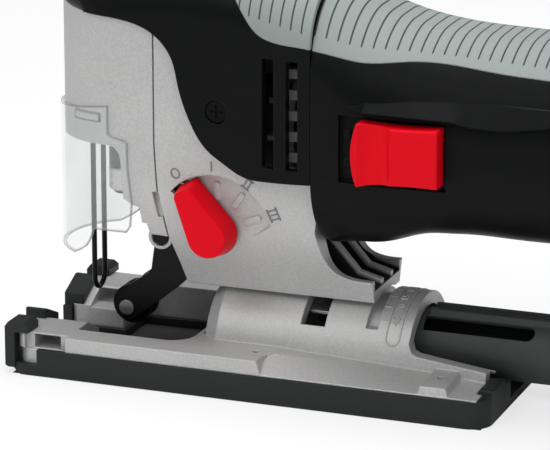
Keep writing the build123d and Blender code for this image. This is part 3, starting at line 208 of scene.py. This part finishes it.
# soft grip: matt, crossed by narrow grooves painted dark (painted shade in the grooves) that stop short of a
# plain lower margin
softGrip = {"tone": rgb(0.255, 0.287, 0.280), "pale": rgb(0.305, 0.338, 0.331),
            "groove": rgb(0.075, 0.085, 0.085), "pitch": 0.00355, "width": 0.00032, "fade": 0.0005,
            "grain": 2400.0, "cloud": 22.0, "cloudShare": 0.8, "grainShare": 0.3, "shift": 0.1,
            "corner": 0.0006, "cut": 0.8, "cutDepth": 0.0006, "bump": 0.15, "bumpDepth": 0.0003,
            "rough": 0.62, "roughSpread": 0.1, "polish": 0.08, "gloss": 0.3,
            "frontMargin": (0.12007, -0.205), "rearMargin": (0.1145, -0.0467)}


def makeGripFinish(name, look):
    material, bench = newFinish(name)
    soft, corner = bench.edges(look["corner"])
    grain = bench.noise(look["grain"], 2.0)
    cloud = bench.noise(look["cloud"], 4.0)
    place = bench.add("ShaderNodeTexCoord", output="Object")
    along = bench.add("ShaderNodeSeparateXYZ", {}, {0: place}, "X")
    upward = bench.add("ShaderNodeSeparateXYZ", {}, {0: place}, "Z")
    offset = (along + 1.0) % look["pitch"] - look["pitch"] / 2  # from the nearest groove, counted from X -1
    far = bench.add("ShaderNodeMath", {"operation": "ABSOLUTE"}, {0: offset})
    margins = [along * look[end][1] + look[end][0] for end in ("frontMargin", "rearMargin")]
    margin = bench.add("ShaderNodeMath", {"operation": "MAXIMUM"}, {0: margins[0], 1: margins[1]})
    plain = 1.0 - ((upward - margin) / look["fade"]).clamped()  # 1 below the margin
    wall = (far / look["width"] + plain).clamped()  # 0 in the middle of a groove
    grade = (cloud * look["cloudShare"] + grain * look["grainShare"] - look["shift"]).clamped()
    tone = bench.blend(grade, look["tone"], look["pale"])
    # painted shade: the grooves take the dark groove colour
    colour = bench.blend(wall ** 2.0, look["groove"], tone)
    cut = bench.bump(look["cut"], look["cutDepth"], wall, soft)
    normal = bench.bump(look["bump"], look["bumpDepth"], grain, cut)
    dull = grain * look["roughSpread"] + look["rough"]
    closeFinish(bench, {"Base Color": colour, "Roughness": dull - corner * look["polish"],
                        "Specular IOR Level": look["gloss"], "Normal": normal})
    return material


# turned and pressed steel: drawn streaks along one way, and a painted highlight that brightens the corners
drawing = {"gain": 1.6, "shift": 0.3, "edgeShare": 0.5, "bump": 0.12, "bumpDepth": 0.0002, "roughSpread": 0.2,
           "roughDrop": 0.1}
brightSteel = {"tone": rgb(0.46, 0.46, 0.46), "pale": rgb(0.62, 0.62, 0.61), "streak": (6, 900, 900),
               "corner": 0.0003, "metal": 1.0, "rough": 0.30}
blackSteel = {"tone": rgb(0.0050, 0.0053, 0.0055), "pale": rgb(0.011, 0.0115, 0.012),
              "streak": (300, 300, 300), "corner": 0.0005, "metal": 0.7, "rough": 0.46}
laminate = {"tone": rgb(0.12, 0.12, 0.125), "pale": rgb(0.25, 0.25, 0.25), "streak": (2200, 5, 5),
            "corner": 0.0002, "metal": 0.9, "rough": 0.45}
copperWire = {"tone": rgb(0.45, 0.17, 0.07), "pale": rgb(0.68, 0.30, 0.14), "streak": (40, 1500, 1500),
              "corner": 0.0002, "metal": 0.9, "rough": 0.34}
bronzeBush = {"tone": rgb(0.33, 0.22, 0.09), "pale": rgb(0.46, 0.32, 0.15), "streak": (900, 900, 30),
              "corner": 0.0003, "metal": 1.0, "rough": 0.38}
carbonBlock = {"tone": rgb(0.010, 0.010, 0.011), "pale": rgb(0.028, 0.028, 0.03), "streak": (700, 700, 700),
               "corner": 0.0002, "metal": 0.2, "rough": 0.5}


def makeSteelFinish(name, look):
    material, bench = newFinish(name)
    soft, corner = bench.edges(look["corner"])
    streak = bench.noise(1.0, 3.0, look["streak"])
    tone = bench.blend((streak * drawing["gain"] - drawing["shift"]).clamped(), look["tone"], look["pale"])
    # painted highlight: corners blended towards the pale colour
    colour = bench.blend(corner * drawing["edgeShare"], tone, look["pale"])
    normal = bench.bump(drawing["bump"], drawing["bumpDepth"], streak, soft)
    dull = streak * drawing["roughSpread"] + (look["rough"] - drawing["roughDrop"])
    closeFinish(bench, {"Base Color": colour, "Metallic": look["metal"], "Roughness": dull, "Normal": normal})
    return material


# clear guard: hazy see-through sheet whose rims are painted darker and less see-through, a painted stand-in
# for the dark refraction lines along its edges
clearSheet = {"tone": rgb(0.80, 0.82, 0.83), "rim": rgb(0.22, 0.23, 0.24), "scuff": 60.0, "corner": 0.0013,
              "alpha": 0.08, "haze": 0.12, "dense": 0.85, "rough": 0.08, "roughSpread": 0.2}


def makeClearFinish(name, look):
    material, bench = newFinish(name)
    soft, corner = bench.edges(look["corner"])
    scuff = bench.noise(look["scuff"], 6.0)
    # painted refraction: the rims take the dark rim colour and more opacity
    colour = bench.blend(corner, look["tone"], look["rim"])
    opacity = (corner * look["dense"] + scuff * look["haze"] + look["alpha"]).clamped()
    closeFinish(bench, {"Base Color": colour, "Roughness": scuff * look["roughSpread"] + look["rough"],
                        "Alpha": opacity, "Normal": soft})
    return material


finishes = {
    "cast": makeCastFinish("castMetal", castMetal),
    "finned": makeCastFinish("finnedMetal", castMetal, finPaintedShade),
    "mark": makeCastFinish("markMetal", markMetal),
    "black": makePlasticFinish("blackPlastic", blackPlastic),
    "sole": makePlasticFinish("solePlastic", solePlastic),
    "tube": makePlasticFinish("tubePlastic", tubePlastic),
    "grey": makePlasticFinish("greyPlastic", greyPlastic),
    "red": makePlasticFinish("redPlastic", redPlastic),
    "grip": makeGripFinish("softGrip", softGrip),
    "steel": makeSteelFinish("brightSteel", brightSteel),
    "darkSteel": makeSteelFinish("blackSteel", blackSteel),
    "laminate": makeSteelFinish("laminate", laminate),
    "copper": makeSteelFinish("copperWire", copperWire),
    "bronze": makeSteelFinish("bronzeBush", bronzeBush),
    "carbon": makeSteelFinish("carbonBlock", carbonBlock),
    "clear": makeClearFinish("clearSheet", clearSheet),
}
wearers = {
    "cast": ["base_plate", "gear_cover"],
    "finned": ["gear_housing"],
    "sole": ["sliding_sole"],
    "tube": ["dust_tube"],
    "black": ["front_shroud", "handle_shell_left", "handle_shell_right", "cord_inlet", "shroud_screws",
              "handle_screws"],
    "grip": ["front_grip", "rear_grip"],
    "clear": ["clear_guard"],
    "red": ["switch_button", "pendulum_knob"],
    "grey": ["switch_link", "switch_module", "brush_holders", "cooling_fan"],
    "darkSteel": ["roller_lever", "guide_roller", "blade_clamp", "base_clamp_screw", "wire_guard",
                  "lever_pivot_pin"],
    "laminate": ["armature_core", "stator"],
    "copper": ["armature_winding", "field_coils", "commutator"],
    "bronze": ["lower_bush", "upper_bush"],
    "carbon": ["carbon_brushes"],
}
for finish, names in wearers.items():
    for name in names:
        parts[name].data.materials.clear()
        parts[name].data.materials.append(finishes[finish])
dressed = {name for names in wearers.values() for name in names}
for name in sorted(set(parts) - dressed):
    parts[name].data.materials.clear()
    parts[name].data.materials.append(finishes["steel"])
print("finishes made:", len(finishes))


def startTree(name, sizes):
    tree = bpy.data.node_groups.new(name, "GeometryNodeTree")
    for label, value in sizes.items():
        kind = "NodeSocketInt" if isinstance(value, int) else "NodeSocketFloat"
        tree.interface.new_socket(name=label, in_out="INPUT", socket_type=kind)
    tree.interface.new_socket(name="Geometry", in_out="OUTPUT", socket_type="NodeSocketGeometry")
    bench = Bench(tree)
    entry = tree.nodes.new("NodeGroupInput")
    return bench, {label: Wire(bench, entry.outputs[label]) for label in sizes}


def runTree(bench, geometry, sizes, finish, name):
    whole = bench.add("GeometryNodeRealizeInstances", {}, {0: geometry})
    painted = bench.add("GeometryNodeSetMaterial", {}, {"Geometry": whole, "Material": finish})
    leave = bench.tree.nodes.new("NodeGroupOutput")
    bench.tree.links.new(painted.socket, leave.inputs[0])
    piece = bpy.data.objects.new(name, bpy.data.meshes.new(name))
    bpy.context.scene.collection.objects.link(piece)
    modifier = piece.modifiers.new("build", "NODES")
    modifier.node_group = bench.tree
    for item in bench.tree.interface.items_tree:
        if item.in_out == "INPUT":
            modifier[item.identifier] = sizes[item.name]
    graph = bpy.context.evaluated_depsgraph_get()
    mesh = bpy.data.meshes.new_from_object(piece.evaluated_get(graph), depsgraph=graph)
    piece.modifiers.remove(modifier)
    piece.data = mesh
    return piece


# grille bars that stand behind the shroud's rear vents, on both sides
ventBars = {"Count": 5, "X": 0.0141, "Y": 0.0252, "FirstZ": 0.0769, "Pitch": 0.0066, "Width": 0.0044,
            "Depth": 0.0014, "Height": 0.0030}


def makeVentBars(sizes):
    bench, size = startTree("ventBarTree", sizes)
    index = bench.add("GeometryNodeInputIndex")
    sides = []
    for side in (-1.0, 1.0):
        place = bench.add("ShaderNodeCombineXYZ", {}, {0: size["X"], 1: size["Y"] * side,
                                                       2: size["FirstZ"] + index * size["Pitch"]})
        points = bench.add("GeometryNodePoints", {}, {"Count": size["Count"], "Position": place})
        block = bench.add("ShaderNodeCombineXYZ", {}, {0: size["Width"], 1: size["Depth"], 2: size["Height"]})
        bar = bench.add("GeometryNodeMeshCube", {}, {"Size": block})
        sides.append(bench.add("GeometryNodeInstanceOnPoints", {}, {"Points": points, "Instance": bar}))
    joined = bench.add("GeometryNodeJoinGeometry", {}, {0: sides[0]})
    bench.tree.links.new(sides[1].socket, joined.socket.node.inputs[0])
    return runTree(bench, joined, sizes, finishes["grey"], "ventBars")


grille = makeVentBars(ventBars)
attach(grille, "housing")
print("vent bars:", len(grille.data.polygons), "faces")

# tick marks of the bevel scale, on the front rim of the ring
ringTicks = {"Count": 7, "X": 0.0396, "Radius": 0.02175, "AxisZ": 0.0081, "FirstAngle": math.radians(48),
             "Step": math.radians(14), "Length": 0.0022, "Width": 0.00045, "Height": 0.0004}


def makeRingTicks(sizes):
    bench, size = startTree("ringTickTree", sizes)
    index = bench.add("GeometryNodeInputIndex")
    angle = size["FirstAngle"] + index * size["Step"]
    across = bench.add("ShaderNodeMath", {"operation": "COSINE"}, {0: angle})
    upward = bench.add("ShaderNodeMath", {"operation": "SINE"}, {0: angle})
    place = bench.add("ShaderNodeCombineXYZ", {}, {0: size["X"], 1: across * size["Radius"],
                                                   2: upward * size["Radius"] + size["AxisZ"]})
    points = bench.add("GeometryNodePoints", {}, {"Count": size["Count"], "Position": place})
    block = bench.add("ShaderNodeCombineXYZ", {}, {0: size["Length"], 1: size["Height"], 2: size["Width"]})
    bar = bench.add("GeometryNodeMeshCube", {}, {"Size": block})
    turn = bench.add("ShaderNodeCombineXYZ", {}, {0: angle})
    ticks = bench.add("GeometryNodeInstanceOnPoints", {},
                      {"Points": points, "Instance": bar, "Rotation": turn})
    return runTree(bench, ticks, sizes, finishes["cast"], "ringTicks")


ticks = makeRingTicks(ringTicks)
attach(ticks, "base")
print("ring ticks:", len(ticks.data.polygons), "faces")


def meshPiece(name, points, faces, finish, body):
    mesh = bpy.data.meshes.new(name)
    mesh.from_pydata(points, [], faces)
    mesh.update()
    mesh.materials.append(finish)
    piece = bpy.data.objects.new(name, mesh)
    bpy.context.scene.collection.objects.link(piece)
    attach(piece, body)
    return piece


# raised numbers and outline of the bevel scale, bent round the ring
ringScale = {"x": 0.0436, "radius": 0.0217, "axisZ": 0.0081, "letter": 0.0036, "raise": 0.0003,
             "half": 0.0022, "low": math.radians(32), "high": math.radians(148), "rib": 0.0007, "endSteps": 14,
             "sideSteps": 30,
             "marks": [("45", 48), ("30", 62), ("15", 76), ("0", 90), ("15", 104), ("30", 118), ("45", 132)]}


def ringPoint(scale, along, angle, height):
    reach = scale["radius"] + height
    return (along, -reach * math.cos(angle), scale["axisZ"] + reach * math.sin(angle))


def makeRingNumbers(scale):
    points, faces = [], []
    for word, degrees in scale["marks"]:
        curve = bpy.data.curves.new("mark", "FONT")
        curve.body = word
        curve.size = scale["letter"]
        curve.align_x = "CENTER"
        curve.align_y = "CENTER"
        curve.extrude = scale["raise"]
        carrier = bpy.data.objects.new("mark", curve)
        bpy.context.scene.collection.objects.link(carrier)
        graph = bpy.context.evaluated_depsgraph_get()
        mesh = bpy.data.meshes.new_from_object(carrier.evaluated_get(graph), depsgraph=graph)
        first = len(points)
        for vertex in mesh.vertices:
            u, v, w = vertex.co
            points.append(ringPoint(scale, scale["x"] - v, math.radians(degrees) + u / scale["radius"], w))
        faces += [[first + index for index in polygon.vertices] for polygon in mesh.polygons]
        bpy.data.objects.remove(carrier)
    return meshPiece("ringNumbers", points, faces, finishes["cast"], "base")


ribProfile = [(-0.5, -0.3), (-0.32, 1.0), (0.32, 1.0), (0.5, -0.3)]  # shares of the width and the height


def sweep(path, normals, across, width, height):  # low raised rib along a path on a surface
    points, faces = [], []
    for place, normal, side in zip(path, normals, across):
        place, normal, side = Vector(place), Vector(normal), Vector(side)
        for shift, rise in ribProfile:
            points.append(place + side * shift * width + normal * rise * height)
    count = len(ribProfile)
    for ring in range(len(path) - 1):
        for corner in range(count):
            a, b = ring * count + corner, ring * count + (corner + 1) % count
            faces.append((a, b, b + count, a + count))
    return points, faces


def makeRingOutline(scale):
    half, low, high = scale["half"], scale["low"], scale["high"]
    turns, sides = scale["endSteps"], scale["sideSteps"]
    flat = []
    for step in range(turns + 1):  # lower end, as a half circle
        angle = math.pi * step / turns
        flat.append((-half * math.cos(angle), low - half * math.sin(angle) / scale["radius"]))
    for step in range(1, sides):
        flat.append((half, low + (high - low) * step / sides))
    for step in range(turns + 1):  # upper end
        angle = math.pi * step / turns
        flat.append((half * math.cos(angle), high + half * math.sin(angle) / scale["radius"]))
    for step in range(1, sides):
        flat.append((-half, high + (low - high) * step / sides))
    flat.append(flat[0])
    path, normals, across = [], [], []
    for index, (along, angle) in enumerate(flat):
        path.append(ringPoint(scale, scale["x"] + along, angle, 0.0))
        normal = Vector((0, -math.cos(angle), math.sin(angle)))
        before = flat[index - 1] if index else flat[-2]
        after = flat[index + 1] if index + 1 < len(flat) else flat[1]
        run = Vector(ringPoint(scale, *after, 0)) - Vector(ringPoint(scale, *before, 0))
        normals.append(normal)
        across.append(run.normalized().cross(normal))
    points, faces = sweep(path, normals, across, scale["rib"], scale["raise"])
    return meshPiece("ringOutline", points, faces, finishes["cast"], "base")


numbers = makeRingNumbers(ringScale)
outline = makeRingOutline(ringScale)
print("bevel scale:", len(numbers.data.polygons) + len(outline.data.polygons), "faces")

# raised marks 0 to III beside the pendulum knob, laid on the casting's flank
knobMarks = {"x": -0.0145, "z": 0.04875, "tall": 0.0031, "gap": 0.0015, "stroke": 0.0006, "raise": 0.0003,
             "zeroHalf": 0.0013, "zeroSteps": 24, "barSteps": 4, "castFrom": -0.06,
             "places": [(124.5, 0.0222), (91.2, 0.0217), (56.0, 0.0206), (21.4, 0.0213)]}
flank = BVHTree.FromPolygons([v.co for v in parts["gear_housing"].data.vertices],
                             [p.vertices for p in parts["gear_housing"].data.polygons])


def onFlank(x, z):
    return flank.ray_cast(Vector((x, knobMarks["castFrom"], z)), Vector((0, 1, 0)))[:2]


def strokeOnFlank(flat, closed=False):
    path, normals, across = [], [], []
    for index, (x, z) in enumerate(flat):
        place, normal = onFlank(x, z)
        before = flat[max(index - 1, 0)]
        after = flat[min(index + 1, len(flat) - 1)]
        if closed and index in (0, len(flat) - 1):
            before, after = flat[-2], flat[1]
        run = Vector((after[0] - before[0], 0, after[1] - before[1])).normalized()
        path.append(place)
        normals.append(normal)
        across.append(run.cross(normal).normalized())
    return sweep(path, normals, across, knobMarks["stroke"], knobMarks["raise"])


def makeKnobMarks(marks):
    strokes = []
    tall, steps = marks["tall"], marks["barSteps"]
    for count, (degrees, radius) in enumerate(marks["places"]):
        angle = math.radians(degrees)
        out = Vector((math.cos(angle), math.sin(angle)))
        along = Vector((math.sin(angle), -math.cos(angle)))
        centre = Vector((marks["x"], marks["z"])) + out * radius
        if count == 0:
            ring = []
            for step in range(marks["zeroSteps"] + 1):
                turn = 2 * math.pi * step / marks["zeroSteps"]
                wide = along * math.cos(turn) * marks["zeroHalf"]
                ring.append(centre + wide + out * math.sin(turn) * tall / 2)
            strokes.append((ring, True))
            continue
        for bar in range(count):
            shift = (bar - (count - 1) / 2) * marks["gap"]
            low = centre + along * shift - out * tall / 2
            high = centre + along * shift + out * tall / 2
            strokes.append(([low + (high - low) * step / steps for step in range(steps + 1)], False))
        if count > 1:  # serif lines over the bars
            reach = along * (count / 2) * marks["gap"]
            for end in (-0.5, 0.5):
                middle = centre + out * tall * end
                strokes.append(([middle - reach, middle, middle + reach], False))
    points, faces = [], []
    for flat, closed in strokes:
        morePoints, moreFaces = strokeOnFlank([tuple(p) for p in flat], closed)
        faces += [[len(points) + index for index in face] for face in moreFaces]
        points += morePoints
    return meshPiece("knobMarks", points, faces, finishes["mark"], "housing")


marks = makeKnobMarks(knobMarks)
print("knob marks:", len(marks.data.polygons), "faces")

# studio: pale floor, white surround, soft lamps and the camera
studio = {"floor": 6.0, "drop": 0.0002, "glow": 0.70, "ambient": 0.27, "sheen": 0.14, "under": (0.078, 0.036),
          "pale": rgb(0.9, 0.9, 0.9), "shade": rgb(0.05, 0.05, 0.05), "white": rgb(1, 1, 1),
          "camera": (0.3772, -1.0119, 0.3656), "target": (-0.00219, 0.0, 0.04667), "lens": 232.76,
          "sensor": 36.0, "lampAim": (0.0, 0.0, 0.06),
          "lamps": [("keyLamp", (-0.45, -0.75, 0.95), 0.9, 4.4), ("fillLamp", (0.55, -0.85, 1.0), 0.9, 3.4),
                    ("topLamp", (0.1, 0.1, 1.3), 1.0, 13.5)]}


def makeStudio(look):
    half = look["floor"] / 2
    mesh = bpy.data.meshes.new("floor")
    corners = [(-half, -half, 0), (half, -half, 0), (half, half, 0), (-half, half, 0)]
    mesh.from_pydata(corners, [], [(0, 1, 2, 3)])
    floor = bpy.data.objects.new("floor", mesh)
    bpy.context.scene.collection.objects.link(floor)
    floor.location.z = -look["drop"]
    material, bench = newFinish("paleFloor")
    seen = bench.add("ShaderNodeLightPath", output="Is Camera Ray")
    through = bench.add("ShaderNodeLightPath", output="Is Transmission Ray")
    white = bench.add("ShaderNodeEmission", {}, {"Color": look["white"], "Strength": 1.0})
    place = bench.add("ShaderNodeTexCoord", output="Object")
    reach = bench.add("ShaderNodeVectorMath", {"operation": "ABSOLUTE"}, {0: place})
    along, across = [bench.add("ShaderNodeSeparateXYZ", {}, {0: reach}, axis) for axis in "XY"]
    under = (along < look["under"][0]) * (across < look["under"][1])  # the shade below the sole
    colour = bench.blend(under, look["pale"], look["shade"])
    body = bench.add("ShaderNodeBsdfDiffuse", {}, {"Color": colour})
    factor = (seen + through).clamped() * look["glow"] * (1.0 - under)
    mixed = bench.add("ShaderNodeMixShader", {}, {0: factor, 1: body, 2: white})
    bench.add("ShaderNodeOutputMaterial", {}, {"Surface": mixed})
    mesh.materials.append(material)

    world = bpy.data.worlds.new("studioWorld")
    world.use_nodes = True
    world.node_tree.nodes.clear()
    bench = Bench(world.node_tree)
    seen = bench.add("ShaderNodeLightPath", output="Is Camera Ray")
    gloss = bench.add("ShaderNodeLightPath", output="Is Glossy Ray")
    dim = bench.add("ShaderNodeBackground", {}, {"Color": look["white"], "Strength": look["ambient"]})
    faint = bench.add("ShaderNodeBackground", {}, {"Color": look["white"], "Strength": look["sheen"]})
    bright = bench.add("ShaderNodeBackground", {}, {"Color": look["white"], "Strength": 1.0})
    lit = bench.add("ShaderNodeMixShader", {}, {0: gloss, 1: dim, 2: faint})
    mixed = bench.add("ShaderNodeMixShader", {}, {0: seen, 1: lit, 2: bright})
    bench.add("ShaderNodeOutputWorld", {}, {"Surface": mixed})
    bpy.context.scene.world = world

    for name, place, size, power in look["lamps"]:
        light = bpy.data.lights.new(name, "AREA")
        light.shape = "DISK"
        light.size = size
        light.energy = power
        lamp = bpy.data.objects.new(name, light)
        bpy.context.scene.collection.objects.link(lamp)
        lamp.location = place
        aim = Vector(look["lampAim"]) - Vector(place)
        lamp.rotation_euler = aim.to_track_quat("-Z", "Y").to_euler()

    camera = bpy.data.cameras.new("camera")
    camera.lens = look["lens"]
    camera.sensor_width = look["sensor"]
    eye = bpy.data.objects.new("camera", camera)
    bpy.context.scene.collection.objects.link(eye)
    eye.location = look["camera"]
    aim = Vector(look["target"]) - Vector(look["camera"])
    eye.rotation_euler = aim.to_track_quat("-Z", "Y").to_euler()
    bpy.context.scene.camera = eye
    bpy.context.scene.view_settings.view_transform = "Standard"


makeStudio(studio)
print("studio set")
